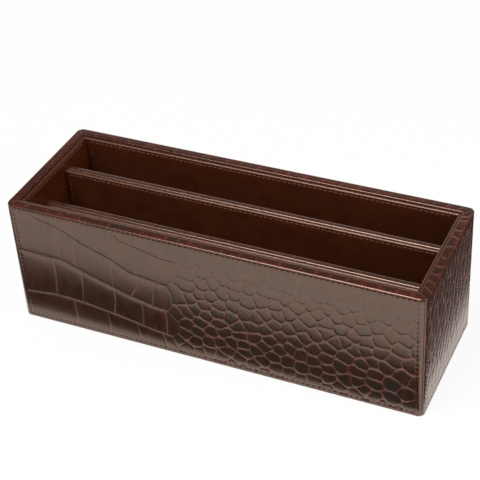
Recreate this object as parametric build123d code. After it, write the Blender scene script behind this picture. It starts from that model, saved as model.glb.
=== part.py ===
from build123d import *
from math import sqrt
import os

# Open desk organizer: a leather-covered board box with two lengthwise dividers
# that step down towards the front.  X runs along the length, Y from the front
# to the back and Z up.  The origin is at the middle of the underside.  Millimetres.

# Overall size
length = 340.0
width = 117.0
height = 111.0
corner_radius = 5.0          # rounded vertical corners of the box

# Thickness of each layer
board = 6.0                  # wall boards
base_thick = 6.0             # base board
panel = 2.0                  # outer leather, turned over card
lining = 3.0                 # padded lining panels
rim_thick = 1.4              # leather strip over the top edge
divider_board = 3.7
wrap = 0.9                   # leather folded over a divider
floor_thick = 1.5
pad_thick = 1.6              # felt under the base
pad_proud = 0.6              # how far the felt stands below the leather
pad_inset = 4.0              # felt edge to the outside of the box

# Compartments, measured between the linings, and how far each divider
# lies below the rim
front_pocket = 22.0
middle_pocket = 27.5
rear_step = 10.0
front_step = 20.0

# Edges and fits
rim_outer_round = 1.1
rim_inner_round = 0.9
panel_round = 0.8            # turned top and bottom edges of the outer panels
lining_round = 1.3
lining_drop = 1.2            # rim to the top of the wall linings
divider_lining_drop = 0.3    # divider top to the top of its lining
wrap_round = 1.4
seam_bow = 1.0               # how far a rim mitre bows towards the end strip
seam_groove = 0.5            # depth of the groove where two outer panels meet
notch_fit = 0.15             # end lining around a divider
floor_fit = 0.25             # floor lining to the walls

# Levels
base_bottom = pad_thick
base_top = base_bottom + base_thick
board_top = height - rim_thick
lining_top = height - lining_drop
floor_top = base_top + floor_thick

# Half sizes of the box at each layer
outer_x = length / 2
outer_y = width / 2
board_x = outer_x - panel
board_y = outer_y - panel
inner_x = board_x - board
inner_y = board_y - board
clear_x = inner_x - lining
clear_y = inner_y - lining
rim_width = panel + board

# Divider faces, from the front
divider_core = divider_board + 2 * wrap
front_lining_face = -clear_y + front_pocket
front_core = front_lining_face + lining
front_back_face = front_core + divider_core
rear_lining_face = front_back_face + middle_pocket
rear_core = rear_lining_face + lining
rear_back_face = rear_core + divider_core


def block(x0, x1, y0, y1, z0, z1):
    """Box between two corners."""
    size = Box(x1 - x0, y1 - y0, z1 - z0)
    return Pos((x0 + x1) / 2, (y0 + y1) / 2, (z0 + z1) / 2) * size


def slab(half_x, half_y, radius, z0, z1):
    """Flat slab centred on the box, with rounded or square corners."""
    outline = Rectangle(2 * half_x, 2 * half_y)
    if radius > 0:
        outline = RectangleRounded(2 * half_x, 2 * half_y, radius)
    return extrude(Pos(0, 0, z0) * outline, z1 - z0)


def ring(half_x, half_y, radius, thick, z0, z1):
    """Upright ring: a slab with a like-shaped hole through it."""
    outer = slab(half_x, half_y, radius, z0, z1)
    hole = slab(half_x - thick, half_y - thick, max(radius - thick, 0), z0 - 1, z1 + 1)
    return outer - hole


def round_top(body, outer_radius, inner_radius):
    """Round the outer and the inner top edge of a ring."""
    rounded = fillet(body.faces().sort_by(Axis.Z)[-1].outer_wire().edges(), outer_radius)
    if inner_radius == 0:
        return rounded
    return fillet(rounded.faces().sort_by(Axis.Z)[-1].inner_wires()[0].edges(), inner_radius)


def round_foot(body, radius):
    """Round the outer bottom edge of a ring."""
    return fillet(body.faces().sort_by(Axis.Z)[0].outer_wire().edges(), radius)


def mitre(start, end, bow):
    """Edge of a mitre seen from above, straight or bowed to the right of its run."""
    if bow == 0:
        return Line(start, end)
    run = Vector(*end) - Vector(*start)
    side = Vector(run.Y, -run.X).normalized() * bow
    return ThreePointArc(start, (Vector(*start) + Vector(*end)) / 2 + side, end)


def corner_point(side, inset):
    """Point on the mitre line of a front corner; side is -1 at the left, 1 at the right."""
    return (side * (outer_x - inset), inset - outer_y)


def front_wedge(width, bow):
    """Upright prism holding the front side of a ring, with a mitre at each end."""
    past = corner_radius
    edges = [
        Line(corner_point(-1, -past), corner_point(1, -past)),
        Line(corner_point(1, -past), corner_point(1, 0)),
        mitre(corner_point(1, 0), corner_point(1, width), bow),
        Line(corner_point(1, width), corner_point(1, width + past)),
        Line(corner_point(1, width + past), corner_point(-1, width + past)),
        Line(corner_point(-1, width + past), corner_point(-1, width)),
        mitre(corner_point(-1, width), corner_point(-1, 0), bow),
        Line(corner_point(-1, 0), corner_point(-1, -past)),
    ]
    return extrude(make_face(edges), height + 1)


def split(body, width, bow):
    """Front and left pieces of a ring, mitred where they meet."""
    wedge = front_wedge(width, bow)
    ends = body - wedge - mirror(wedge, Plane.XZ)
    return body & wedge, ends.solids().sort_by(Axis.X)[0]


def four_sides(front, left):
    """Front, back, left and right pieces, from the front and the left one."""
    return front, mirror(front, Plane.XZ), left, mirror(left, Plane.YZ)


def seam_grooves():
    """Upright cuts that leave a groove at each seam between two outer panels."""
    inset = corner_radius * (1 - sqrt(0.5))
    width_across = seam_groove * sqrt(2)
    cut = Pos(0, 0, height / 2) * Box(width_across, width_across, 2 * height)
    places = GridLocations(2 * (outer_x - inset), 2 * (outer_y - inset), 2, 2)
    return [place * cut for place in places]


def base_pad():
    """Felt on which the box stands."""
    inset_radius = max(corner_radius - pad_inset, 1)
    return slab(outer_x - pad_inset, outer_y - pad_inset, inset_radius, 0, pad_thick)


def base():
    """Base board with the corners of the box."""
    return slab(board_x, board_y, corner_radius - panel, base_bottom, base_top)


def long_board(side):
    """Wall board along the front (-1) or the back (1), rounded at its outer corners."""
    wall = slab(board_x, board_y, corner_radius - panel, base_top, board_top)
    near = side * inner_y
    far = side * outer_y
    return wall & block(-outer_x, outer_x, min(near, far), max(near, far), 0, height)


def end_board(side):
    """Wall board between the long boards, at the left (-1) or the right (1)."""
    near = side * inner_x
    far = side * board_x
    return block(min(near, far), max(near, far), -inner_y, inner_y, base_top, board_top)


def outer_panels():
    """The four embossed panels round the outside, meeting at the rounded corners."""
    skin = ring(outer_x, outer_y, corner_radius, panel, pad_proud, board_top)
    skin = round_foot(round_top(skin, panel_round, 0), panel_round)
    return four_sides(*split(skin - seam_grooves(), panel, 0))


def rim_strips():
    """The four strips over the top edge, with bowed mitres."""
    strip = ring(outer_x, outer_y, corner_radius, rim_width, board_top, height)
    strip = round_top(strip, rim_outer_round, rim_inner_round)
    return four_sides(*split(strip, rim_width, seam_bow))


def round_ridge(body, axis, radius):
    """Round the top of an upright panel that runs along the given axis."""
    return fillet(body.edges().filter_by(axis).group_by(Axis.Z)[-1], radius)


def divider_notch(y0, y1, top):
    """Cut through an end lining for one divider."""
    return block(-outer_x, outer_x, y0 - notch_fit, y1 + notch_fit, 0, top + notch_fit)


def wall_linings():
    """The four lining panels of the walls; the end ones are notched over the dividers."""
    wedge = front_wedge(rim_width + lining, 0)
    along = block(-inner_x, inner_x, -inner_y, -clear_y, base_top, lining_top)
    front = round_ridge(along, Axis.X, lining_round) & wedge
    across = block(-inner_x, -clear_x, -inner_y, inner_y, base_top, lining_top)
    left = round_ridge(across, Axis.Y, lining_round) - wedge - mirror(wedge, Plane.XZ)
    left -= divider_notch(front_core, front_back_face, height - front_step)
    left -= divider_notch(rear_core, rear_back_face, height - rear_step)
    return four_sides(front, left)


def upright(y0, y1, top, half_length, radius):
    """Upright panel along the box, standing on the base board, with a rounded top."""
    return round_ridge(block(-half_length, half_length, y0, y1, base_top, top), Axis.X, radius)


def divider(core_face, step):
    """Board, folded wrap and front lining of one divider."""
    top = height - step
    back = core_face + divider_core
    inside = upright(core_face + wrap, back - wrap, top - wrap, inner_x, wrap_round - wrap)
    outside = upright(core_face, back, top, inner_x, wrap_round)
    face_top = top - divider_lining_drop
    face = upright(core_face - lining, core_face, face_top, clear_x, lining_round)
    return inside, outside - inside, face


def floor_lining(y0, y1):
    """Lining on the floor of one compartment."""
    half_x = clear_x - floor_fit
    return block(-half_x, half_x, y0 + floor_fit, y1 - floor_fit, base_top, floor_top)


def build_nodes():
    """Every piece of the organizer, by node name."""
    nodes = {"base_pad": base_pad(), "base_board": base()}
    nodes["front_board"] = long_board(-1)
    nodes["back_board"] = long_board(1)
    nodes["left_end_board"] = end_board(-1)
    nodes["right_end_board"] = end_board(1)
    sides = ["front", "back", "left", "right"]
    for side, outside, strip, inside in zip(sides, outer_panels(), rim_strips(), wall_linings()):
        whole = side if side in ("front", "back") else side + "_end"
        nodes[whole + "_panel"] = outside
        nodes[side + "_rim"] = strip
        nodes[whole + "_lining"] = inside
    for name, core_face, step in (("front", front_core, front_step), ("rear", rear_core, rear_step)):
        parts = divider(core_face, step)
        for piece, solid in zip(("board", "wrap", "lining"), parts):
            nodes[name + "_divider_" + piece] = solid
    nodes["front_floor_lining"] = floor_lining(-clear_y, front_lining_face)
    nodes["middle_floor_lining"] = floor_lining(front_back_face, rear_lining_face)
    nodes["rear_floor_lining"] = floor_lining(rear_back_face, clear_y)
    return nodes


os.makedirs("parts", exist_ok=True)
for node, solid in build_nodes().items():
    export_step(solid, "parts/" + node + ".step")
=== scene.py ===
import math
import bpy
import numpy as np
from mathutils import Matrix, Vector


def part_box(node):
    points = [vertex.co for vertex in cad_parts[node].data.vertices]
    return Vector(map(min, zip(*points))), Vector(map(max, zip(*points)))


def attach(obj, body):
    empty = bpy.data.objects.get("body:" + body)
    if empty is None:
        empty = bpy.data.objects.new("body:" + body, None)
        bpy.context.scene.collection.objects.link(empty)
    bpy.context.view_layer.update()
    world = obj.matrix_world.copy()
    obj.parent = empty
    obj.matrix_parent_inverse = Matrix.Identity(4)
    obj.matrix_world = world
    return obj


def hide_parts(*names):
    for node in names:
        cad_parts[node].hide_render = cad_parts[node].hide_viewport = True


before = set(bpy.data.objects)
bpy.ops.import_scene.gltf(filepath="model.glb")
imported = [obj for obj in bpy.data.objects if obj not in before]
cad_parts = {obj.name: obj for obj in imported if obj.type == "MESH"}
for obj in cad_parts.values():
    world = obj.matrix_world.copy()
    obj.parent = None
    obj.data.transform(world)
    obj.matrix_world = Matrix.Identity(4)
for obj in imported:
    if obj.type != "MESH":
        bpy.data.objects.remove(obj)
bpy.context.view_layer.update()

mm = 0.001
tiny = 1e-4
quarter = math.pi / 2


def nodeBox(name):
    return [[value / mm for value in corner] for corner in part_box(name)]


# overall sizes; most are read from the parts in model.glb
box = {
    "halfLength": nodeBox("right_end_panel")[1][0],
    "halfWidth": nodeBox("back_panel")[1][1],
    "height": nodeBox("front_rim")[1][2],
    "panelBottom": nodeBox("front_panel")[0][2],
    "panelTop": nodeBox("front_panel")[1][2],
    "cornerRadius": 5.0,
    "rimWidth": 8.0,
}
# Each side is built as the front and then turned to its place. A side has its turn in degrees,
# half its length and how far it stands from the middle.
sides = {
    "front": (0, box["halfLength"], box["halfWidth"]),
    "right": (90, box["halfWidth"], box["halfLength"]),
    "back": (180, box["halfLength"], box["halfWidth"]),
    "left": (270, box["halfWidth"], box["halfLength"]),
}
longSides = ("front", "back")


def wallName(side):
    return side if side in longSides else side + "_end"


def setMode(mode):
    bpy.ops.object.mode_set(mode=mode)


def deselectAll():
    if bpy.context.mode != "OBJECT":
        setMode("OBJECT")
    bpy.ops.object.select_all(action="DESELECT")


def makeActive(piece):
    deselectAll()
    piece.select_set(True)
    bpy.context.view_layer.objects.active = piece


def readPoints(piece):
    flat = np.empty(len(piece.data.vertices) * 3)
    piece.data.vertices.foreach_get("co", flat)
    return flat.reshape(-1, 3)


def writePoints(piece, points):
    piece.data.vertices.foreach_set("co", points.reshape(-1))
    piece.data.update()


def editAll(piece):
    makeActive(piece)
    setMode("EDIT")
    bpy.ops.mesh.select_all(action="SELECT")


def selectPoints(piece, flags):
    makeActive(piece)
    for parts in (piece.data.polygons, piece.data.edges):
        parts.foreach_set("select", np.zeros(len(parts), dtype=bool))
    piece.data.vertices.foreach_set("select", flags)
    setMode("EDIT")
    bpy.ops.mesh.select_mode(type="VERT")


def applyModifier(piece, kind, **settings):
    makeActive(piece)
    modifier = piece.modifiers.new(kind.title(), kind)
    for setting, value in settings.items():
        setattr(modifier, setting, value)
    bpy.ops.object.modifier_apply(modifier=modifier.name)


def roundEdges(piece, width, segments, sharpness):
    # rounds the edges that turn by more than the given number of degrees
    applyModifier(piece, "BEVEL", width=width, segments=segments, limit_method="ANGLE",
                  angle_limit=math.radians(sharpness))


def turned(points, degrees):
    angle = math.radians(degrees)
    x, y, z = np.array(points, dtype=float).T
    along = x * math.cos(angle) - y * math.sin(angle)
    return np.column_stack([along, x * math.sin(angle) + y * math.cos(angle), z])


def ramp(value, start, reach):
    # grows from 0 at the start to 1 at the end of the reach
    return np.clip((value - start) / reach, 0, 1)


def finishPiece(piece, name, material, replaced=(), smooth=40):
    editAll(piece)
    bpy.ops.mesh.normals_make_consistent(inside=False)
    setMode("OBJECT")
    bpy.ops.object.shade_smooth_by_angle(angle=math.radians(smooth))
    piece.name = piece.data.name = name
    piece.data.materials.clear()
    piece.data.materials.append(material)
    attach(piece, "root")
    if replaced:
        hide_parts(*replaced)
    piece.select_set(False)


# A sheet of leather is cut flat with its rows and columns at given stops, pressed with its
# relief, folded over its board and closed at the back.

def zonedStops(length, zones, fine=(0,)):
    # each zone gives how far it reaches and its step; the stops at both ends are fine
    start, stops = fine[-1], list(fine[:-1])
    for reach, step in zones:
        end = min(reach, length - fine[-1])
        count = max(1, round((end - start) / step))
        stops += list(np.linspace(start, end, count + 1)[:-1])
        start = end
    return np.array(stops + [length - stop for stop in reversed(fine)])


def evenStops(length, step, fine=(0,)):
    return zonedStops(length, [(length, step)], fine)


def runStops(*runs):
    stops = [0.0]
    for length, count in runs:
        stops += list(np.linspace(stops[-1], stops[-1] + length, count + 1)[1:])
    return np.array(stops)


def cutSheet(name, columnStops, rowStops):
    deselectAll()
    columns, rows = len(columnStops) - 1, len(rowStops) - 1
    bpy.ops.mesh.primitive_grid_add(x_subdivisions=columns, y_subdivisions=rows, size=1)
    sheet = bpy.context.object
    sheet.name = name
    points = readPoints(sheet)
    points[:, 0] = columnStops[np.rint((points[:, 0] + 0.5) * columns).astype(int)]
    points[:, 1] = rowStops[np.rint((points[:, 1] + 0.5) * rows).astype(int)]
    writePoints(sheet, points)
    return sheet


def pressSheet(sheet, depth):
    deepest = float(depth.max())
    pressed = sheet.vertex_groups.new(name="pressed")
    share = np.round(depth / deepest, 3)
    for value in np.unique(share[share > 0]):
        pressed.add(np.nonzero(share == value)[0].tolist(), float(value), "REPLACE")
    applyModifier(sheet, "DISPLACE", strength=-deepest, mid_level=0.0, direction="Z",
                  vertex_group="pressed")
    sheet.vertex_groups.clear()


def keepPattern(sheet, **patterns):
    for name, values in patterns.items():
        layer = sheet.data.attributes.new(name, "FLOAT", "POINT")
        layer.data.foreach_set("value", values.astype(np.float32))


def backSheet(sheet, height, thick):
    points = readPoints(sheet)
    count = len(points)
    selectPoints(sheet, (points[:, 1] < tiny) | (points[:, 1] > height - tiny))
    bpy.ops.mesh.extrude_edges_move(TRANSFORM_OT_translate={"value": (0, 0, -thick)})
    bpy.ops.mesh.bridge_edge_loops()
    setMode("OBJECT")
    points = readPoints(sheet)
    points[count:, 2] = -thick
    writePoints(sheet, points)
    fillEnds(sheet)


def fillEnds(sheet):
    editAll(sheet)
    bpy.ops.mesh.fill_holes(sides=0)
    setMode("OBJECT")


def foldOver(along, depth, bottom, runs):
    # follows straight runs with a quarter bend after each, upwards first and then inwards
    folded = np.zeros((len(along), 2))
    place = np.array([0.0, bottom])
    heading, passed = 0.0, 0.0
    for run, radius in runs:
        ahead = np.array([math.sin(heading), math.cos(heading)])
        outside = np.array([-math.cos(heading), math.sin(heading)])
        here = along >= passed - 1e-6
        step = along[here] - passed
        folded[here] = place + np.outer(step, ahead) - np.outer(depth[here], outside)
        place = place + ahead * run - outside * radius
        passed += run
        if radius > 0:
            here = along > passed + 1e-6
            angle = heading + (along[here] - passed) / radius
            reach = radius - depth[here]
            folded[here] = place + np.column_stack([-np.cos(angle) * reach, np.sin(angle) * reach])
            heading += quarter
            place = place + radius * np.array([-math.cos(heading), math.sin(heading)])
            passed += radius * quarter
    return folded.T


def pressAndFold(sheet, depth, bottom, runs):
    # gives for each point its place along the sheet, how far in it lies and its level
    pressSheet(sheet, depth)
    points = readPoints(sheet)
    return points[:, 0], *foldOver(points[:, 1], -points[:, 2], bottom, runs)


def layFolded(sheet, x, y, level, turn, bottom):
    writePoints(sheet, turned(np.column_stack([x, y, level]), turn) * mm)
    selectPoints(sheet, level < bottom + tiny)
    bpy.ops.mesh.bridge_edge_loops()
    fillEnds(sheet)


def softEdge(distance, width, slope):
    # the leather starts to fall away this far before a bend and eases into it
    ease = 0.4
    into = np.clip(width - distance, 0, width)
    past = np.clip(-distance, 0, ease)
    return slope * (into ** 2 / (2 * width) + past - past ** 2 / (2 * ease))


def foldLength(runs):
    return sum(run + radius * quarter for run, radius in runs)


# Layout of the embossed scales. A layout gives, for each point of a panel, how deep it is
# pressed, how much of the groove colour shows and which tone its scale has.
emboss = {
    "grooveDepth": 0.26, "grooveWidth": 0.38, "domeDepth": 0.18, "domeWidth": 1.7,
    "tintWidth": 0.28, "softness": 0.95, "cornerSoftness": 0.5, "toneStart": 0.3, "margin": 1.7,
    "faintestTone": 0.45, "waveReach": 0.35, "waveLength": 15.0,
}
# how many places are tried for scales, how far a gap may differ and how the scales are rounded
scatter = {"tries": 9000, "least": 0.66, "most": 1.22, "rounds": 2, "spots": 20000}
farAway = 1e3


def lineGap(points, stops):
    nearest = np.full(len(points), farAway)
    for start, end in zip(stops[:-1], stops[1:]):
        start, end = np.array(start, dtype=float), np.array(end, dtype=float)
        run = end - start
        share = np.clip(((points - start) @ run) / (run @ run), 0, 1)
        nearest = np.minimum(nearest, np.linalg.norm(points - start - share[:, None] * run, axis=1))
    return nearest


def pressLines(gaps, strength, settings=emboss, tinted=None):
    groove = np.exp(-(gaps / settings["grooveWidth"]) ** 2)
    dome = np.exp(-gaps / settings["domeWidth"])
    depth = settings["grooveDepth"] * groove + settings["domeDepth"] * dome
    tint = np.exp(-((gaps if tinted is None else tinted) / settings["tintWidth"]) ** 2)
    return strength * depth, np.minimum(strength, 1) * tint


def deeper(first, second):
    return [np.maximum(one, other) for one, other in zip(first, second)]


def scatterScales(low, high, spacing, seed, tries=scatter["tries"]):
    draw = np.random.default_rng(seed)
    kept = np.empty((0, 2))
    gaps = np.empty(0)
    for place in draw.uniform(low, high, (tries, 2)):
        gap = spacing(*place) * draw.uniform(scatter["least"], scatter["most"])
        if np.all(np.linalg.norm(kept - place, axis=1) > (gaps + gap) / 2):
            kept = np.vstack([kept, place])
            gaps = np.append(gaps, gap)
    return roundedScales(kept, draw.uniform(low, high, (scatter["spots"], 2)))


def roundedScales(seeds, spots):
    # each seed moves to the middle of its scale, which makes the scales rounder
    for _ in range(scatter["rounds"]):
        parts = np.array_split(spots, 10)
        nearest = [np.linalg.norm(part[:, None] - seeds, axis=2).argmin(axis=1) for part in parts]
        nearest = np.concatenate(nearest)
        count = np.bincount(nearest, minlength=len(seeds))
        sums = [np.bincount(nearest, spots[:, axis], len(seeds)) for axis in (0, 1)]
        middle = np.column_stack(sums) / np.maximum(count, 1)[:, None]
        seeds = np.where(count[:, None] > 0, middle, seeds)
    return seeds


def wandering(points):
    # a gentle wave in the layout, so that no scale has a straight edge
    x, z = (points * 2 * math.pi / emboss["waveLength"]).T
    aside = np.sin(z + 1.3 * np.sin(0.6 * x)) + 0.5 * np.sin(2.3 * z + 1.1 * x)
    upward = np.sin(1.2 * x + 1.1 * np.sin(0.7 * z)) + 0.5 * np.sin(2.1 * x - z)
    return points + emboss["waveReach"] * np.column_stack([aside, upward])


def scaleGaps(points, seeds, neighbours=6, batch=8000):
    # distance to the edge of the scale, for its dome and with tighter corners for its outline,
    # and the number of the scale
    points = wandering(points)
    soft, sharp, nearest = [], [], []
    for part in np.split(points, range(batch, len(points), batch)):
        away = np.linalg.norm(part[:, None] - seeds, axis=2)
        order = np.argpartition(away, neighbours, axis=1)[:, :neighbours + 1]
        near = np.take_along_axis(away, order, axis=1)
        rank = np.argsort(near, axis=1)
        order = np.take_along_axis(order, rank, axis=1)
        near = np.take_along_axis(near, rank, axis=1)
        apart = np.linalg.norm(seeds[order[:, 1:]] - seeds[order[:, :1]], axis=2)
        gaps = (near[:, 1:] ** 2 - near[:, :1] ** 2) / (2 * apart)
        soft.append(softLeast(gaps, emboss["softness"]))
        sharp.append(softLeast(gaps, emboss["cornerSoftness"]))
        nearest.append(order[:, 0])
    return np.concatenate(soft), np.concatenate(sharp), np.concatenate(nearest)


def softLeast(gaps, softness):
    # the smallest gap of each point, blended with the next ones where they are alike
    return np.maximum(-softness * np.log(np.exp(-gaps / softness).sum(axis=1)), 0)


def scaleTones(nearest, count, seed, gaps):
    # the middle of a scale has its own tone, which fades towards its edge
    tones = np.random.default_rng(seed).uniform(emboss["faintestTone"], 1, count)[nearest]
    return tones * ramp(gaps, emboss["toneStart"], emboss["margin"])


# long belly scales in sloping rows, and the round flank scales beside them
belly = {
    "rows": {
        "brow": (0.5, [(84, 113), (93, 104.6), (99.7, 99.5), (118, 95.6), (131, 92.2), (149, 91.1)]),
        "upper": (0.9, [(20, 104.8), (24, 103.5), (45, 97.9), (66, 87.7), (88, 79.9), (104, 70.9),
                        (136, 66.8)]),
        "middle": (1.0, [(6, 68.4), (9, 68.2), (43, 67.5), (59, 61.9), (82, 54), (104, 47.2),
                         (127, 42.7), (134, 42)]),
        "lower": (0.9, [(6, 26.8), (7, 27), (34, 30.4), (59, 29.2), (91, 24.7), (118, 19.1), (142, 16)]),
        "top": (0.0, [(-4, 118), (170, 118)]),
        "foot": (0.0, [(-4, -6), (170, -6)]),
    },
    "crossingBulge": 0.8,
    "crossings": [
        ("brow", "upper", 0.35, [(101, 91), (118, 108)]),
        ("top", "upper", 0.3, [(58, 55)]),
        ("upper", "middle", 0.4, [(41, 43), (57, 56), (89, 88)]),
        ("upper", "middle", 0.7, [(113, 103), (125, 121)]),
        ("middle", "lower", 0.95, [(36.5, 34.5), (61, 58), (89, 86), (112.5, 111), (132.5, 131.5)]),
        ("lower", "foot", 0.9, [(50, 48), (80, 78.5), (106, 105.5), (128, 131)]),
    ],
    "frontier": [(134, -6), (141, 5), (136, 15.5), (143, 23), (143, 33), (134.5, 42), (139, 49),
                 (139, 60), (135.5, 67), (144, 76), (149, 91), (147, 120)],
    "press": {**emboss, "domeDepth": 0.14, "grooveWidth": 0.5, "tintWidth": 0.48},
    "overlap": 0.62, "overlapReach": 2.4, "overlapStart": 8.0, "overlapEnd": 6.0, "tone": 0.35,
}
# the flank's scales get wider towards the top and the far end, and fainter towards the top; the groove
# colour also fades there, painted light that stands in for the bright reflection at the top
flank = {
    "low": (118, -10), "high": (352, 125), "spacing": 9.5, "widerUp": (66, 40, 0.8),
    "widerFar": (300, 30, 3.0), "clear": 3.0, "strength": ((45, 80, 100), (1.0, 0.6, 0.35)),
    "borderStrength": ((60, 84), (0.8, 0.1)), "tint": ((60, 85), (1.0, 0.8)),
}


def alongRow(name, x):
    stops = np.array(belly["rows"][name][1], dtype=float)
    return np.interp(x, stops[:, 0], stops[:, 1])


def bellyLines(points):
    lines = [np.zeros(len(points)), np.zeros(len(points))]
    for strength, stops in belly["rows"].values():
        if strength > 0:
            lines = deeper(lines, pressLines(lineGap(points, stops), strength, belly["press"]))
    for above, below, strength, places in belly["crossings"]:
        for high, low in places:
            start = (high, float(alongRow(above, high)))
            end = (low, float(alongRow(below, low)))
            middle = ((high + low) / 2 + belly["crossingBulge"], (start[1] + end[1]) / 2)
            crossing = pressLines(lineGap(points, [start, middle, end]), strength, belly["press"])
            lines = deeper(lines, crossing)
    return lines


def bellySteps(points, edge):
    # each row of belly scales lies a little over the one below it
    step = np.zeros(len(points))
    for name, (strength, stops) in belly["rows"].items():
        under = alongRow(name, points[:, 0]) - points[:, 1]
        share = strength * ramp(points[:, 0], stops[0][0], belly["overlapStart"])
        step = np.maximum(step, np.where(under > 0, share * np.exp(-under / belly["overlapReach"]), 0))
    return step * ramp(edge - points[:, 0], 0, belly["overlapEnd"]) * belly["overlap"]


def flankSpacing(x, z):
    widened = flank["spacing"]
    for value, (start, reach, extra) in ((z, flank["widerUp"]), (x, flank["widerFar"])):
        widened += extra * ramp(value, start, reach)
    return widened


def bellyEdge(z):
    frontier = np.array(belly["frontier"], dtype=float)
    return np.interp(z, frontier[:, 1], frontier[:, 0])


def longLayout(points, seed):
    x, z = points.T
    edge = bellyEdge(z)
    seeds = scatterScales(flank["low"], flank["high"], flankSpacing, seed)
    seeds = seeds[seeds[:, 0] > bellyEdge(seeds[:, 1]) + flank["clear"]]
    gaps, sharp, nearest = scaleGaps(points, seeds)
    pebbles = pressLines(gaps, np.interp(z, *flank["strength"]), emboss, sharp)
    lines = [np.where(x > edge, one, other) for one, other in zip(pebbles, bellyLines(points))]
    border = pressLines(np.abs(x - edge), np.interp(z, *flank["borderStrength"]))
    depth, tint = deeper(lines, border)
    tone = np.where(x > edge, scaleTones(nearest, len(seeds), seed, gaps), belly["tone"])
    # the groove colour fades towards the top: painted light for the bright reflection there
    return depth + bellySteps(points, edge), tint * np.interp(z, *flank["tint"]), tone


def frontScales(points):
    return longLayout(points, 7)


def backScales(points, shift=(9, 6)):
    # the front's layout, mirrored and shifted, with other random numbers
    x, z = points.T
    return longLayout(np.column_stack([2 * box["halfLength"] - x, z]) + shift, 19)


ends = {
    "low": (-34, -8), "high": (127, 64), "spacing": 8.6, "squash": 0.5, "lean": 0.2,
    "strength": 0.42, "tint": 2.0,
}


def endScales(seed):
    # the scales of the ends are tall and lean back a little
    def layout(points):
        x, z = points.T
        drawn = np.column_stack([x - ends["lean"] * z, ends["squash"] * z])
        seeds = scatterScales(ends["low"], ends["high"], lambda x, z: ends["spacing"], seed)
        gaps, sharp, nearest = scaleGaps(drawn, seeds)
        depth, tint = pressLines(gaps, ends["strength"], emboss, sharp)
        return depth, ends["tint"] * tint, scaleTones(nearest, len(seeds), seed, gaps)
    return layout


# nodes are always added to the tree that was started last
current = {}


def startTree(owner):
    owner.use_nodes = True
    current["tree"] = owner.node_tree
    owner.node_tree.nodes.clear()


def newMaterial(name):
    # the material and the place on the piece that its patterns read
    material = bpy.data.materials.new(name)
    startTree(material)
    return material, addNode("TexCoord").outputs["Object"]


def feed(socket, value):
    if isinstance(value, bpy.types.NodeSocket):
        current["tree"].links.new(value, socket)
    else:
        socket.default_value = value


def addNode(kind, settings=None, **inputs):
    node = current["tree"].nodes.new("ShaderNode" + kind)
    for key, value in (settings or {}).items():
        setattr(node, key, value)
    for key, value in inputs.items():
        feed(node.inputs[key.replace("_", " ")], value)
    return node


def noise(place, scale, detail=2.0, roughness=0.5):
    return addNode("TexNoise", Vector=place, Scale=scale, Detail=detail,
                   Roughness=roughness).outputs["Fac"]


def attribute(name):
    return addNode("Attribute", {"attribute_name": name}).outputs["Fac"]


def between(value, low, high, start=0.0, end=1.0):
    return addNode("MapRange", {"interpolation_type": "SMOOTHSTEP"}, Value=value,
                   From_Min=low, From_Max=high, To_Min=start, To_Max=end).outputs["Result"]


def joined(node, values):
    # feeds the inputs of a node by their numbers, because some share a name
    for index, value in values.items():
        feed(node.inputs[index], value)
    return node


def linear(colour):
    # makes red, green and blue from 0 to 255 linear; a socket stays as it is
    if not isinstance(colour, tuple):
        return colour
    return (*[((value / 255 + 0.055) / 1.055) ** 2.4 for value in colour], 1.0)


def mixColours(factor, first, second):
    node = addNode("Mix", {"data_type": "RGBA"})
    return joined(node, {0: factor, 6: linear(first), 7: linear(second)}).outputs[2]


def mathNode(operation, *values):
    node = addNode("Math", {"operation": operation})
    return joined(node, dict(enumerate(values))).outputs[0]


def surface(shader, kind="OutputMaterial"):
    addNode(kind, Surface=shader.outputs[0])


def raised(height, strength, depth=0.4):
    return addNode("Bump", Strength=strength, Distance=depth * mm, Height=height).outputs[0]


def leatherGrain(place, look):
    # pores between fine cells, over a soft unevenness
    cells = addNode("TexVoronoi", {"feature": "DISTANCE_TO_EDGE"}, Vector=place, Scale=look["cells"])
    pores = between(cells.outputs["Distance"], 0.0, look["poreWidth"])
    uneven = noise(place, look["unevenness"], 4, 0.6)
    height = mathNode("MULTIPLY_ADD", pores, look["poreDepth"], uneven)
    return raised(height, look["grain"])


def paint(colour, roughness, bump, look):
    shader = addNode("BsdfPrincipled", Base_Color=colour, Roughness=roughness, Normal=bump,
                     IOR=look["index"], Specular_IOR_Level=look["level"], Specular_Tint=look["gloss"])
    surface(shader)


warmGloss = (1.0, 0.76, 0.63, 1)
edgeGloss = (1.0, 0.7, 0.56, 1)
commonLook = {
    "patch": 60, "drawn": 0.45, "streaks": 700, "wear": 110, "plateTone": (0.1, 0.3), "gloss": warmGloss,
    "level": 1.0, "index": 1.6, "grain": 0.02, "cells": 1500, "poreWidth": 0.12, "poreDepth": 0.2,
    "unevenness": 240,
}
panelLook = {
    **commonLook, "scale": (54, 29, 22), "red": (62, 28, 21), "dark": (38, 20, 15), "grey": (42, 32, 27),
    "groove": (106, 66, 53), "plateGroove": (101, 76, 68), "smooth": 0.24, "rough": 0.42,
    "grain": 0.1, "toned": 0.9,
}
endLook = {
    **commonLook, "scale": (58, 30, 25), "red": (66, 29, 24), "dark": (42, 22, 19), "grey": (44, 32, 29),
    "groove": (118, 78, 70), "patch": 42, "smooth": 0.26, "rough": 0.42, "grain": 0.04, "toned": 0.7,
}
rimLook = {
    **commonLook, "scale": (66, 29, 20), "red": (88, 33, 22), "dark": (42, 20, 15), "grey": (44, 28, 22),
    "groove": (108, 62, 48), "patch": 80, "gloss": edgeGloss, "smooth": 0.19, "rough": 0.28,
    "toned": 0.85,
}
wrapLook = {
    **commonLook, "scale": (64, 38, 29), "red": (76, 39, 31), "dark": (50, 28, 21), "grey": (58, 38, 30),
    "groove": (98, 62, 50), "gloss": edgeGloss, "smooth": 0.22, "rough": 0.3, "toned": 0.4,
}
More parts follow.
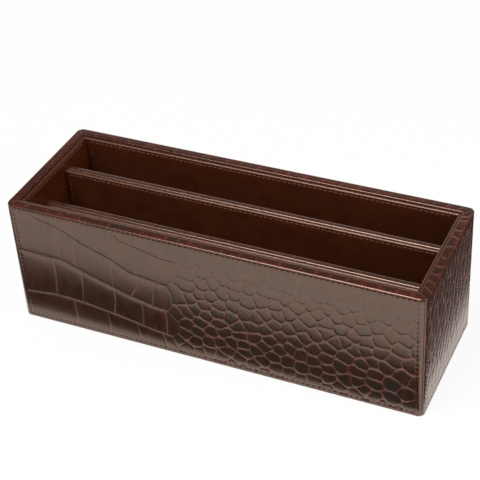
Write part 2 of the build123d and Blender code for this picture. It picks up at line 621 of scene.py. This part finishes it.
edgeLook = {
    **commonLook, "scale": (58, 29, 21), "red": (72, 32, 22), "dark": (40, 20, 14), "grey": (50, 30, 23),
    "groove": (104, 62, 48), "patch": 150, "level": 0.25, "index": 1.5, "smooth": 0.42, "rough": 0.5,
    "grain": 0.2, "toned": 0.8,
}
liningLook = {
    "light": (70, 33, 17), "dark": (60, 27, 13), "clouds": 60, "smooth": 0.28, "rough": 0.34,
    "gloss": edgeGloss, "level": 0.9, "index": 1.5, "grain": 0.08, "cells": 1100, "poreWidth": 0.15,
    "poreDepth": 0.4, "unevenness": 200,
}
plainWhite = (1, 1, 1, 1)
threadLook = {"twist": 900, "wear": 150, "gloss": warmGloss, "level": 0.3, "index": 1.5}
fibreLook = {"gloss": plainWhite, "level": 0.3, "index": 1.5}


def embossedLeather(name, look):
    material, place = newMaterial(name)
    groove, tone = attribute("groove"), attribute("tone")
    patches = between(noise(place, look["patch"], 3), 0.42, 0.62)
    skin = mixColours(patches, look["scale"], look["red"])
    drawn = addNode("Mapping", Vector=place, Scale=(1, 1, look["drawn"])).outputs["Vector"]
    shade = between(noise(drawn, 3.5 * look["patch"], 3, 0.6), 0.4, 0.7)
    skin = mixColours(shade, skin, look["dark"])
    skin = mixColours(between(tone, 0.35, 1.0, 0.0, look["toned"]), skin, look["grey"])
    streaks = between(noise(place, look["streaks"], 4, 0.65), 0.45, 0.8, 0.0, 0.5)
    skin = mixColours(streaks, skin, look["dark"])
    worn = between(noise(place, look["wear"], 3), 0.32, 0.68, 0.35, 1.0)
    # the grooves of the belly plates, which have one even tone, are greyer
    plates = between(tone, *look["plateTone"])
    grooves = mixColours(plates, look["groove"], look.get("plateGroove", look["groove"]))
    colour = mixColours(mathNode("MULTIPLY", groove, worn), skin, grooves)
    roughness = between(groove, 0.0, 1.0, look["smooth"], look["rough"])
    paint(colour, roughness, leatherGrain(place, look), look)
    return material


def liningLeather(name, look):
    material, place = newMaterial(name)
    cloudy = between(noise(place, look["clouds"], 4), 0.35, 0.7)
    colour = mixColours(cloudy, look["light"], look["dark"])
    roughness = between(cloudy, 0.0, 1.0, look["smooth"], look["rough"])
    paint(colour, roughness, leatherGrain(place, look), look)
    return material


def waxedThread(name, light, dark, look=threadLook):
    material, place = newMaterial(name)
    twist = addNode("TexWave", {"bands_direction": "DIAGONAL"}, Vector=place,
                    Scale=look["twist"], Distortion=1.5).outputs["Fac"]
    tone = mixColours(noise(place, look["wear"], 3), light, dark)
    colour = mixColours(twist, tone, dark)
    paint(colour, between(twist, 0, 1, 0.5, 0.62), raised(twist, 0.35, 0.2), look)
    return material


def fibreMaterial(name, light, dark, scale, roughness, look=fibreLook):
    material, place = newMaterial(name)
    fibres = noise(place, scale, 6, 0.7)
    clumps = between(noise(place, scale / 12, 3), 0.4, 0.7)
    colour = mixColours(clumps, mixColours(fibres, light, dark), dark)
    matt = between(fibres, 0, 1, roughness - 0.1, roughness)
    paint(colour, matt, raised(fibres, 0.5), look)
    return material


panelSkin = embossedLeather("embossedLeather", panelLook)
endSkin = embossedLeather("endLeather", endLook)
rimSkin = embossedLeather("rimLeather", rimLook)
edgeSkin = embossedLeather("turnedEdgeLeather", edgeLook)
wrapSkin = embossedLeather("dividerLeather", wrapLook)
liningSkin = liningLeather("liningLeather", liningLook)
panelThread = waxedThread("panelThread", (84, 48, 35), (42, 22, 16))
edgeThread = waxedThread("edgeThread", (72, 40, 28), (34, 18, 13))
liningThread = waxedThread("liningThread", (140, 98, 80), (104, 68, 54))
felt = fibreMaterial("feltPad", (58, 40, 34), (38, 25, 21), 900, 0.95)
board = fibreMaterial("stainedBoard", (56, 35, 26), (38, 23, 17), 700, 0.85)

nodeSkins = {"board": board, "lining": liningSkin, "pad": felt}
for nodeName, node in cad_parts.items():
    node.data.materials.clear()
    node.data.materials.append(nodeSkins.get(nodeName.split("_")[-1], panelSkin))
print("materials ready")

# one stitch is modelled, repeated along its row and laid in place
thread = {"pitch": 4.3, "length": 2.7, "radius": 0.33, "endRound": 0.6, "dip": 0.2, "slant": 9.0,
          "sink": 0.29}
softThread = {**thread, "length": 3.3, "radius": 0.4, "slant": 3.0, "sink": 0.2}
sunkThread = {**softThread, "sink": 0.3}


def stitchCount(length):
    return max(1, round(length / thread["pitch"]))


def stitchRow(places, outward, turn, settings=thread):
    # a row of stitches between two places on a face, turned with the side
    start, end = turned(places, turn)
    outward = turned([outward], turn)[0]
    length = float(np.linalg.norm(end - start))
    count = stitchCount(length)
    pitch = length / count
    deselectAll()
    bpy.ops.mesh.primitive_cylinder_add(vertices=6, radius=settings["radius"], depth=settings["length"],
                                        rotation=(0, quarter, 0))
    row = bpy.context.object
    bpy.ops.object.transform_apply(location=False, rotation=True, scale=False)
    roundEdges(row, settings["radius"] * settings["endRound"], 2, 70)
    applyModifier(row, "ARRAY", count=count, use_relative_offset=False, use_constant_offset=True,
                  constant_offset_displace=(pitch, 0, 0))
    x, y, z = readPoints(row).T
    index = np.clip(np.rint(x / pitch), 0, count - 1)
    local = x - index * pitch
    along = (index + 0.5) * pitch + local
    aside = y + local * math.tan(math.radians(settings["slant"]))
    up = z - settings["dip"] * (2 * local / settings["length"]) ** 2 - settings["sink"]
    ahead = (end - start) / length
    axes = np.array([ahead, np.cross(outward, ahead), outward])
    writePoints(row, (start + np.column_stack([along, aside, up]) @ axes) * mm)
    return row


def joinRows(rows):
    makeActive(rows[0])
    for row in rows[1:]:
        row.select_set(True)
    bpy.ops.object.join()
    return rows[0]


# outer panels; a list of steps gives how far each step of the grid reaches
panel = {
    "thick": 2.0, "frontColumns": [(128, 0.8), (400, 0.6)], "frontRows": [(61, 0.5), (200, 0.75)],
    "backStep": [(400, 0.68)], "endStep": [(400, 0.52)], "edgeRound": 0.8, "seamDepth": 0.5,
    "seamWidth": 0.7, "stitchInset": 5.0, "rearInset": 2.9, "stitchTop": 1.15, "stitchFoot": 3.5,
    "channelDepth": 0.36, "channelWidth": 0.75, "channelPull": 0.28, "turnedDepth": 0.42,
    "turnedEase": 0.7, "turnedLip": 0.5, "plainBorder": 0.3, "borderWidth": 1.6, "borderTint": 0.35,
    "seamStops": (0, 0.3, 0.62, 1.0), "edgeStops": (0, 0.15, 0.4, 0.8),
}


def roundedEdge(distance, radius):
    short = np.clip(radius - distance, 0, radius)
    return radius - np.sqrt(np.maximum(radius ** 2 - short ** 2, 0))


def sewnChannel(gap, along, length):
    # the thread pulls the leather in under each stitch, and the channel ends with its row
    pitch = length / stitchCount(length)
    pull = 1 - panel["channelPull"] * (1 + np.cos(2 * math.pi * along / pitch))
    channel = panel["channelDepth"] * pull * np.exp(-(gap / panel["channelWidth"]) ** 2)
    return np.where((along > -1) & (along < length + 1), channel, 0)


def stitchEdges(side, halfRun):
    # the upright rows of stitches; on the ends the rear one lies nearer the corner
    near, rear = halfRun - panel["stitchInset"], halfRun - panel["rearInset"]
    return -rear if side == "left" else -near, rear if side == "right" else near


def panelRelief(side, across, up, scales, halfRun):
    height = box["panelTop"] - box["panelBottom"]
    fromSeam = halfRun - np.abs(across)
    start, end = stitchEdges(side, halfRun)
    low, high = panel["stitchFoot"], height - panel["stitchTop"]
    inside = np.minimum.reduce([across - start, end - across, up - low, high - up])
    border = ramp(inside, -panel["borderWidth"] / 2, panel["borderWidth"])
    depth = scales * (panel["plainBorder"] + (1 - panel["plainBorder"]) * border)
    for level in (low, high):
        depth += sewnChannel(np.abs(up - level), across - start, end - start)
    for edge in (start, end):
        depth += sewnChannel(np.abs(across - edge), up - low, high - low)
    over = 1 - ramp(up, high, height - high - panel["turnedLip"])
    under = np.exp(np.minimum(up - high, 0) / panel["turnedEase"])
    depth += panel["turnedDepth"] * np.where(up > high, over, under)
    depth += roundedEdge(np.minimum(up, height - up), panel["edgeRound"])
    depth += panel["seamDepth"] * (1 - ramp(fromSeam, 0, panel["seamWidth"])) ** 1.5
    return depth, border


def roundCorner(run, half, off, outset=0.0):
    # where a point is that lies this far from the middle of a side, along the outline
    radius = box["cornerRadius"]
    angle = np.maximum(run - half + radius, 0) / radius
    reach = radius + outset
    return np.minimum(run, half - radius) + reach * np.sin(angle), radius - off - reach * np.cos(angle)


def cornerRun(half):
    # from the middle of a side round to the seam, half way round the corner
    return half - box["cornerRadius"] * (1 - quarter / 2)


def wrapPanel(side, layout, skin, across, upward):
    turn, half, off = sides[side]
    halfRun = cornerRun(half)
    height = box["panelTop"] - box["panelBottom"]
    columns = zonedStops(2 * halfRun, across, panel["seamStops"]) - halfRun
    sheet = cutSheet(side, columns, zonedStops(height, upward, panel["edgeStops"]))
    x, z = readPoints(sheet).T[:2]
    scales, tint, tone = layout(np.column_stack([x + half, z + box["panelBottom"]]))
    depth, border = panelRelief(side, x, z, scales, halfRun)
    tint *= panel["borderTint"] + (1 - panel["borderTint"]) * border
    keepPattern(sheet, groove=tint, tone=tone * border)
    pressSheet(sheet, depth)
    backSheet(sheet, height, panel["thick"])
    x, z, outset = readPoints(sheet).T
    out, y = roundCorner(np.abs(x), half, off, outset)
    points = np.column_stack([np.sign(x) * out, y, z + box["panelBottom"]])
    writePoints(sheet, turned(points, turn) * mm)
    finishPiece(sheet, side + "PanelLeather", skin, [wallName(side) + "_panel"])
    colourTurnedEdge(sheet, (box["panelTop"] - panel["stitchTop"] + 0.2) * mm)
    stitchPanel(side, halfRun)


def colourTurnedEdge(sheet, level):
    # above the top row of stitches the leather is turned over and matt
    sheet.data.materials.append(edgeSkin)
    centres = np.empty(len(sheet.data.polygons) * 3)
    sheet.data.polygons.foreach_get("center", centres)
    turnedOver = (centres[2::3] > level).astype(np.int32)
    sheet.data.polygons.foreach_set("material_index", turnedOver)


def stitchPanel(side, halfRun):
    # rows along the foot, up both edges and along the top; one on a corner lies further in
    turn, half, off = sides[side]
    left, right = stitchEdges(side, halfRun)
    low = box["panelBottom"] + panel["stitchFoot"]
    high = box["panelTop"] - panel["stitchTop"]
    rows = []
    for start, end, foot, top in ((left, right, low, low), (left, left, low, high),
                                  (right, right, low, high), (left, right, high, high)):
        away = roundCorner(min(abs(start), abs(end)), half, off)[1]
        rows.append(stitchRow([(start, away, foot), (end, away, top)], (0, -1, 0), turn))
    finishPiece(rows.pop(), side + "EdgeStitches", edgeThread)
    finishPiece(joinRows(rows), side + "PanelStitches", panelThread)


wrapPanel("front", frontScales, panelSkin, panel["frontColumns"], panel["frontRows"])
wrapPanel("back", backScales, panelSkin, panel["backStep"], panel["backStep"])
wrapPanel("right", endScales(23), endSkin, panel["endStep"], panel["endStep"])
wrapPanel("left", endScales(31), endSkin, panel["endStep"], panel["endStep"])
print("outer panels wrapped and stitched")

rim = {
    "step": 0.75, "seamStops": (0, 0.3, 0.6, 1.0), "outerRound": 1.3, "innerRound": 0.9,
    "smoothEdge": 1.8, "fade": 1.2, "bow": 1.0, "bowReach": 20, "squeezeReach": 40, "seamDepth": 0.3,
    "seamWidth": 0.8, "grooveDepth": 0.16, "grooveWidth": 0.6, "domeDepth": 0.1, "domeWidth": 1.6,
    "tintWidth": 0.7, "tint": 0.5, "marked": {"front": 1.0, "back": 0.7, "left": 0.15, "right": 1.0},
    "softSlope": 0.18, "crownWidth": 1.1, "crownSlope": 0.42, "firstSeed": 60,
}
# the scales and inner edges of the long strips and of the end ones
longRim = {"crossings": [14, 47, 64.6, 90.7, 117.2, 136.5], "pitch": 12.8, "lean": 1.3, "softWidth": 1.6}
endRim = {"crossings": [10.2], "pitch": 10.2, "lean": 2.8, "softWidth": 1.0}


def rimScales(flat, reach, strip, seed):
    # one row of scales, parted by lines across the strip
    draw = np.random.default_rng(seed)
    stops = list(strip["crossings"])
    while stops[-1] < reach - strip["pitch"]:
        stops.append(stops[-1] + strip["pitch"] * draw.uniform(0.75, 1.25))
    crossed = np.full(len(flat), farAway)
    for x in stops:
        lean, bow = draw.uniform(-strip["lean"], strip["lean"], 2)
        crossed = np.minimum(crossed, lineGap(flat, [(x - lean, -1), (x + bow, 5), (x + lean, 12)]))
    return crossed, np.searchsorted(stops, flat[:, 0])


def mitredStrip(along, side, deep):
    # the strip goes round the corners outside and ends in bowed mitres at the inner edge
    half, off = sides[side][1:]
    wide, halfRun, run = box["rimWidth"], cornerRun(half), np.abs(along)
    share = ramp(deep, 0, wide)
    outX, outY = roundCorner(run, half, off)
    squeezed = (rim["squeezeReach"] + half - wide - halfRun) / rim["squeezeReach"]
    inX = run - (1 - squeezed) * np.maximum(run - halfRun + rim["squeezeReach"], 0)
    bow = (1 if side in longSides else -1) * rim["bow"] / math.sqrt(2)
    bow = bow * 4 * share * (1 - share) * ramp(run, halfRun - rim["bowReach"], rim["bowReach"]) ** 2
    x = (outX + share * (inX - outX) + bow) * np.sign(along)
    return x, outY + share * (-off + wide - outY) + bow + np.minimum(deep, 0)


def rimStrip(side, seed):
    turn, half = sides[side][:2]
    node = side + "_rim"
    strip = longRim if side in longSides else endRim
    bottom = nodeBox(node)[0][2]
    thick = box["height"] - bottom
    halfRun = cornerRun(half)
    outer, inner = rim["outerRound"], rim["innerRound"]
    top = box["rimWidth"] - outer - inner
    runs = [(thick - outer, outer), (top, inner), (thick - inner, 0)]
    length, topStart = foldLength(runs), foldLength(runs[:1])
    columns = evenStops(2 * halfRun, rim["step"], rim["seamStops"]) - halfRun
    rows = runStops((thick - outer, 1), (outer * quarter, 5), (top, 12), (inner * quarter, 5),
                    (thick - inner, 1))
    sheet = cutSheet(side, columns, rows)
    x, over = readPoints(sheet).T[:2]
    flat = np.column_stack([half - x if side in ("back", "left") else half + x, over])
    gaps, nearest = rimScales(flat, 2 * half, strip, seed)
    depth, tint = pressLines(gaps, rim["marked"][side], rim)
    fromEdge = np.minimum(over, length - over)
    depth *= ramp(fromEdge, rim["smoothEdge"], rim["fade"])
    seam = rim["seamDepth"] * (1 - ramp(halfRun - np.abs(x), 0, rim["seamWidth"])) ** 1.5
    depth += seam * ramp(fromEdge, 0, rim["seamWidth"])
    depth += softEdge(topStart + top - over, strip["softWidth"], rim["softSlope"])
    if side == "front":
        depth += softEdge(over - topStart, rim["crownWidth"], rim["crownSlope"])
    margin = np.minimum(gaps, fromEdge - rim["smoothEdge"])
    tones = scaleTones(nearest, nearest.max() + 1, seed, margin)
    keepPattern(sheet, groove=rim["tint"] * tint, tone=tones * rim["marked"][side])
    x, deep, level = pressAndFold(sheet, depth, bottom, runs)
    layFolded(sheet, *mitredStrip(x, side, deep), level, turn, bottom)
    finishPiece(sheet, side + "RimLeather", rimSkin, [node])


for index, side in enumerate(sides):
    rimStrip(side, rim["firstSeed"] + index)
print("rim strips folded")

# lining panels: a round ridge along the top and a sewn border below it
lining = {
    "thick": 3.0, "hiddenRound": 0.7, "openRound": 2.0, "seamBelow": 3.0, "seamInset": 4.6,
    "seamEnd": 4.0, "channelDepth": 0.3, "channelWidth": 0.7, "uprightShare": 0.5, "waviness": 0.12,
    "waveFade": 8.0, "mitreReach": 20, "finely": 12, "step": 2.4,
    "endStops": tuple(np.arange(0, 9, 0.5)),
}


def liningPanel(name, turn, startY, half, node, mitred, sewnEnds):
    low, high = nodeBox(node)
    bottom, top = low[2], high[2]
    thick, hidden, radius = lining["thick"], lining["hiddenRound"], lining["openRound"]
    tall, flat = top - bottom, thick - hidden - radius
    reach = half - (thick if mitred else 0) - lining["seamInset"]
    runs = [(tall - hidden, hidden), (flat, radius), (tall - radius, 0)]
    rowStops = runStops((tall - hidden, 1), (hidden * quarter, 4), (flat, 1), (radius * quarter, 8),
                        (lining["finely"], 20), (tall - radius - lining["finely"], 22))
    sheet = cutSheet(name, evenStops(2 * half, lining["step"], lining["endStops"]) - half, rowStops)
    x, over = readPoints(sheet).T[:2]
    below = over - foldLength(runs[:2]) + radius
    channel = np.exp(-((below - lining["seamBelow"]) / lining["channelWidth"]) ** 2)
    if sewnEnds:
        upright = np.exp(-((reach - np.abs(x)) / lining["channelWidth"]) ** 2)
        upright = np.where(below > lining["seamBelow"], lining["uprightShare"] * upright, 0)
        channel = np.maximum(channel, upright)
    wave = 0.5 + 0.5 * np.sin(0.21 * x) * np.sin(0.083 * x + 0.12 * over)
    depth = lining["waviness"] * wave * ramp(below, lining["seamBelow"], lining["waveFade"])
    x, deep, level = pressAndFold(sheet, depth + lining["channelDepth"] * channel, bottom, runs)
    if mitred:
        x -= np.sign(x) * deep * ramp(np.abs(x), half - lining["mitreReach"], lining["mitreReach"])
    layFolded(sheet, x, startY + deep, level, turn, bottom)
    face, seam, foot = startY + thick, top - lining["seamBelow"], bottom + lining["seamEnd"]
    rows = [stitchRow([(-reach, face, seam), (reach, face, seam)], (0, 1, 0), turn, softThread)]
    for edge in (-reach, reach) if sewnEnds else ():
        places = [(edge, face, seam - lining["seamEnd"]), (edge, face, foot)]
        rows.append(stitchRow(places, (0, 1, 0), turn, sunkThread))
    finishPiece(joinRows(rows), name + "Stitches", liningThread, ())
    finishPiece(sheet, name + "Leather", liningSkin, [node])


for side, (turn, half, off) in sides.items():
    wide = box["rimWidth"]
    liningPanel(side + "Lining", turn, wide - off, half - wide, wallName(side) + "_lining", True,
                side in longSides)
for name in ("front", "rear"):
    node = name + "_divider_lining"
    high = nodeBox(node)[1]
    liningPanel(name + "DividerLining", 180, -high[1], high[0], node, False, True)
print("linings folded and sewn")

# leather folded over the dividers, with large faint scales that stay off their tops
wrap = {
    "thick": 0.9, "frontRound": 1.4, "backRound": 1.0, "softWidth": 1.5, "softSlope": 0.2,
    "grooveDepth": 0.12, "grooveWidth": 0.7, "domeDepth": 0.08, "domeWidth": 2.0, "tintWidth": 0.8,
    "tint": 0.3, "low": (-180, -28), "high": (180, 28), "spacing": 13.0, "tries": 4000,
    "smoothReach": 5.0, "smoothEase": 2.0, "fadeStart": 18.0, "fade": 6.0, "finely": 12,
    "step": 1.3,
}


def dividerWrap(name, node, seed):
    low, high = nodeBox(node)
    front, back, tall = wrap["frontRound"], wrap["backRound"], high[2] - low[2]
    top, finely = high[1] - low[1] - front - back, wrap["finely"]
    runs = [(tall - front, front), (top, back), (tall - back, 0)]
    rowStops = runStops((tall - front - finely, 12), (finely, 10), (front * quarter, 6), (top, 8),
                        (back * quarter, 5), (finely, 10), (tall - back - finely, 12))
    sheet = cutSheet(name, evenStops(2 * high[0], wrap["step"]) - high[0], rowStops)
    x, over = readPoints(sheet).T[:2]
    fromTop = over - foldLength(runs) / 2
    seeds = scatterScales(wrap["low"], wrap["high"], lambda x, z: wrap["spacing"], seed, wrap["tries"])
    gaps, sharp, nearest = scaleGaps(np.column_stack([x, fromTop]), seeds)
    away = np.abs(fromTop)
    depth, tint = pressLines(gaps, 1 - ramp(away, wrap["fadeStart"], wrap["fade"]), wrap, sharp)
    depth *= ramp(away, wrap["smoothReach"], wrap["smoothEase"])
    depth += softEdge(foldLength(runs[:1]) + top - over, wrap["softWidth"], wrap["softSlope"])
    tones = scaleTones(nearest, len(seeds), seed, gaps)
    keepPattern(sheet, groove=wrap["tint"] * tint, tone=tones)
    x, deep, level = pressAndFold(sheet, depth, low[2], runs)
    writePoints(sheet, np.column_stack([x, low[1] + deep, level]) * mm)
    applyModifier(sheet, "SOLIDIFY", thickness=wrap["thick"] * mm, offset=-1.0)
    finishPiece(sheet, name, wrapSkin, [node])


dividerWrap("frontDividerLeather", "front_divider_wrap", 81)
dividerWrap("rearDividerLeather", "rear_divider_wrap", 82)
print("dividers wrapped")

floorLining = {"step": 4.0, "edgeStops": (0, 0.15, 0.5, 1.5), "edgeRound": 0.5, "waviness": 0.15,
               "fade": 3.0}


def floorPiece(name, node):
    low, high = nodeBox(node)
    long, wide, thick = (end - start for start, end in zip(low, high))
    step, fine = floorLining["step"], floorLining["edgeStops"]
    sheet = cutSheet(name, evenStops(long, step, fine) + low[0], evenStops(wide, step, fine))
    x, y = readPoints(sheet).T[:2]
    fromEdge = np.minimum.reduce([high[0] - np.abs(x), y, wide - y])
    wave = 0.5 + 0.5 * np.sin(0.19 * x + 1) * np.sin(0.07 * x + 0.2 * y)
    depth = floorLining["waviness"] * wave * ramp(fromEdge, 0, floorLining["fade"])
    pressSheet(sheet, depth + roundedEdge(fromEdge, floorLining["edgeRound"]))
    backSheet(sheet, wide, thick)
    writePoints(sheet, (readPoints(sheet) + (0, low[1], high[2])) * mm)
    finishPiece(sheet, name, liningSkin, [node])


for name in ("front", "middle", "rear"):
    floorPiece(name + "FloorLeather", name + "_floor_lining")


def feltPad(node, cornerRadius=1.0, edgeRound=0.35):
    low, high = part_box(node)
    deselectAll()
    bpy.ops.mesh.primitive_cube_add(size=1, location=[(a + b) / 2 for a, b in zip(low, high)],
                                    scale=[b - a for a, b in zip(low, high)])
    pad = bpy.context.object
    bpy.ops.object.transform_apply(location=True, rotation=True, scale=True)
    selectPoints(pad, np.zeros(len(pad.data.vertices), dtype=bool))
    setMode("OBJECT")
    for edge in pad.data.edges:
        first, second = (pad.data.vertices[index].co for index in edge.vertices)
        edge.select = abs(first.z - second.z) > tiny
    setMode("EDIT")
    bpy.ops.mesh.select_mode(type="EDGE")
    bpy.ops.mesh.bevel(offset=cornerRadius * mm, segments=4)
    roundEdges(pad, edgeRound * mm, 3, 50)
    finishPiece(pad, "feltPad", felt, [node])


feltPad("base_pad")
print("floor linings and felt laid")

view = {
    "lens": 102.26, "sensor": 36, "place": (0.37974, -0.75598, 0.70703),
    "look": (-0.35936, 0.71779, -0.59635), "lean": 3.869,
}


def addObject(name, data):
    added = bpy.data.objects.new(name, data)
    bpy.context.scene.collection.objects.link(added)
    return added


def aimCamera():
    data = bpy.data.cameras.new("camera")
    data.lens = view["lens"]
    data.sensor_width = view["sensor"]
    data.clip_end = 50
    camera = addObject("camera", data)
    look = Vector(view["look"]).normalized()
    across = look.cross(Vector((0, 0, 1))).normalized()
    across = Matrix.Rotation(math.radians(view["lean"]), 3, look) @ across
    axes = Matrix((across, across.cross(look), -look)).transposed()
    camera.matrix_world = Matrix.Translation(view["place"]) @ axes.to_4x4()
    bpy.context.scene.camera = camera


studio = {
    "floorWhite": 0.9, "cameraShare": 0.92, "sheen": [(-0.22, 1.06), (0.12, 1.2), (0.2, 1.3)],
    "glossyTint": (1.0, 0.96, 0.92, 1), "ambient": 0.36, "glossyRoom": 0.1,
    # sheets that glow only in the gloss of the leather: painted reflections on the rounded edges
    "backdrops": {
        "backSheet": {"x": (-0.9, 0.14), "z": (0.12, 0.44), "foot": 0.95, "top": 0.15},
        "sideSheet": {"x": (0.14, 0.25), "z": (0.12, 0.46), "foot": 0.9, "top": 0.9},
    },
    "backdropPlace": 0.45, "backdropEase": (0.1, 0.4),
    "lamps": {
        "softbox": {"place": (-0.6, -1.35, 2.6), "size": (1.1, 2.0), "power": 68, "tint": (1, 1, 1),
                    "shine": True},
        "fill": {"place": (2.0, -0.3, 0.55), "size": (1.0, 1.0), "power": 32, "tint": (1, 0.86, 0.72),
                 "shine": False},
    },
    # dark cards on the floor, seen only in the gloss: painted dark reflections on the leather
    "flagLevel": 0.0005,
    "flags": {
        "frontFlag": {"x": (-0.45, 0.172), "y": (-0.1255, -0.0695), "turn": 0.9},
        "rightFlag": {"x": (0.182, 1.0), "y": (-0.055, 2.2), "turn": 0.0},
        "backFlag": {"x": (-0.172, 0.165), "y": (0.0695, 0.1255), "turn": 0.0},
        "leftFlag": {"x": (-1.0, -0.182), "y": (-0.055, 0.055), "turn": 0.0},
    },
}


def mixedShader(share, first, second):
    inputs = {0: share, 1: first.outputs[0], 2: second.outputs[0]}
    return joined(addNode("MixShader"), inputs)


def floorMaterial():
    # white to the camera; to reflections the floor glows with a painted sheen, whose strength is given
    # at three places along x
    material, place = newMaterial("studioFloor")
    path = addNode("LightPath")
    paper = addNode("BsdfDiffuse", Color=(*[studio["floorWhite"]] * 3, 1))
    glow = addNode("Emission", Color=plainWhite, Strength=1.0)
    share = mathNode("MULTIPLY", path.outputs["Is Camera Ray"], studio["cameraShare"])
    x = addNode("SeparateXYZ", Vector=place).outputs["X"]
    (left, faint), (middle, medium), (right, full) = studio["sheen"]
    ahead = between(x, left, middle, faint, medium)
    beside = between(x, middle, right, 0.0, full - medium)
    level = mathNode("MULTIPLY_ADD", beside, 1.0, ahead)
    sheen = addNode("Emission", Color=studio["glossyTint"], Strength=level)
    seen = mixedShader(share, paper, glow)
    surface(mixedShader(path.outputs["Is Glossy Ray"], seen, sheen))
    return material


def hangLamp(name, place, size, power, tint, shine):
    data = bpy.data.lights.new(name, "AREA")
    data.shape = "RECTANGLE"
    data.size, data.size_y = size
    data.energy = power
    data.color = tint
    lamp = addObject(name, data)
    lamp.location = place
    lamp.visible_glossy = shine
    lamp.rotation_euler = (-Vector(place)).to_track_quat("-Z", "Y").to_euler()


def glossCard(name, xSpan, otherSpan, material):
    # a card that only shows in the gloss of the leather; its caller puts it in place
    deselectAll()
    bpy.ops.mesh.primitive_plane_add(size=1)
    card = bpy.context.object
    card.name = name
    card.scale = (xSpan[1] - xSpan[0], otherSpan[1] - otherSpan[0], 1)
    card.data.materials.append(material)
    card.visible_camera = card.visible_diffuse = False
    card.visible_shadow = card.visible_transmission = False
    return card


def layFlag(name, flag, material):
    # a dark card on the floor that only the gloss of the leather shows; it casts no shadow and gives
    # painted dark reflections
    card = glossCard(name, flag["x"], flag["y"], material)
    card.location = (sum(flag["x"]) / 2, sum(flag["y"]) / 2, studio["flagLevel"])
    card.rotation_euler = (0, 0, math.radians(flag["turn"]))


def standBackdrop(name, sheet):
    # a sheet behind the organizer, low down, that glows only in the gloss of the leather and lights
    # nothing: a painted reflection whose strength goes from the foot's value to the top's
    material, place = newMaterial(name + "PaintedGlow")
    up = addNode("SeparateXYZ", Vector=place).outputs["Y"]
    level = between(up, *studio["backdropEase"], sheet["foot"], sheet["top"])
    surface(addNode("Emission", Color=studio["glossyTint"], Strength=level))
    card = glossCard(name, sheet["x"], sheet["z"], material)
    card.location = (sum(sheet["x"]) / 2, studio["backdropPlace"], sum(sheet["z"]) / 2)
    card.rotation_euler = (quarter, 0, 0)


def lightWorld():
    # white to the camera, even light on the object and little in reflections
    world = bpy.data.worlds.new("studio")
    bpy.context.scene.world = world
    startTree(world)
    path = addNode("LightPath")
    room, dim, white = (addNode("Background", Color=plainWhite, Strength=strength)
                        for strength in (studio["ambient"], studio["glossyRoom"], 1.0))
    seen = mixedShader(path.outputs["Is Glossy Ray"], room, dim)
    surface(mixedShader(path.outputs["Is Camera Ray"], seen, white), "OutputWorld")


def buildStudio():
    deselectAll()
    bpy.ops.mesh.primitive_plane_add(size=14, location=(0, 0, 0))
    floor = bpy.context.object
    floor.name = "studioFloor"
    floor.data.materials.append(floorMaterial())
    # black card material for the painted dark reflections
    black = newMaterial("flagCard")[0]
    surface(addNode("BsdfDiffuse", Color=(0.02, 0.02, 0.02, 1)))
    for name, flag in studio["flags"].items():
        layFlag(name, flag, black)
    for name, sheet in studio["backdrops"].items():
        standBackdrop(name, sheet)
    lightWorld()
    for name, lamp in studio["lamps"].items():
        hangLamp(name, **lamp)


aimCamera()
buildStudio()
bpy.context.scene.view_settings.view_transform = "Standard"
print("organizer dressed")
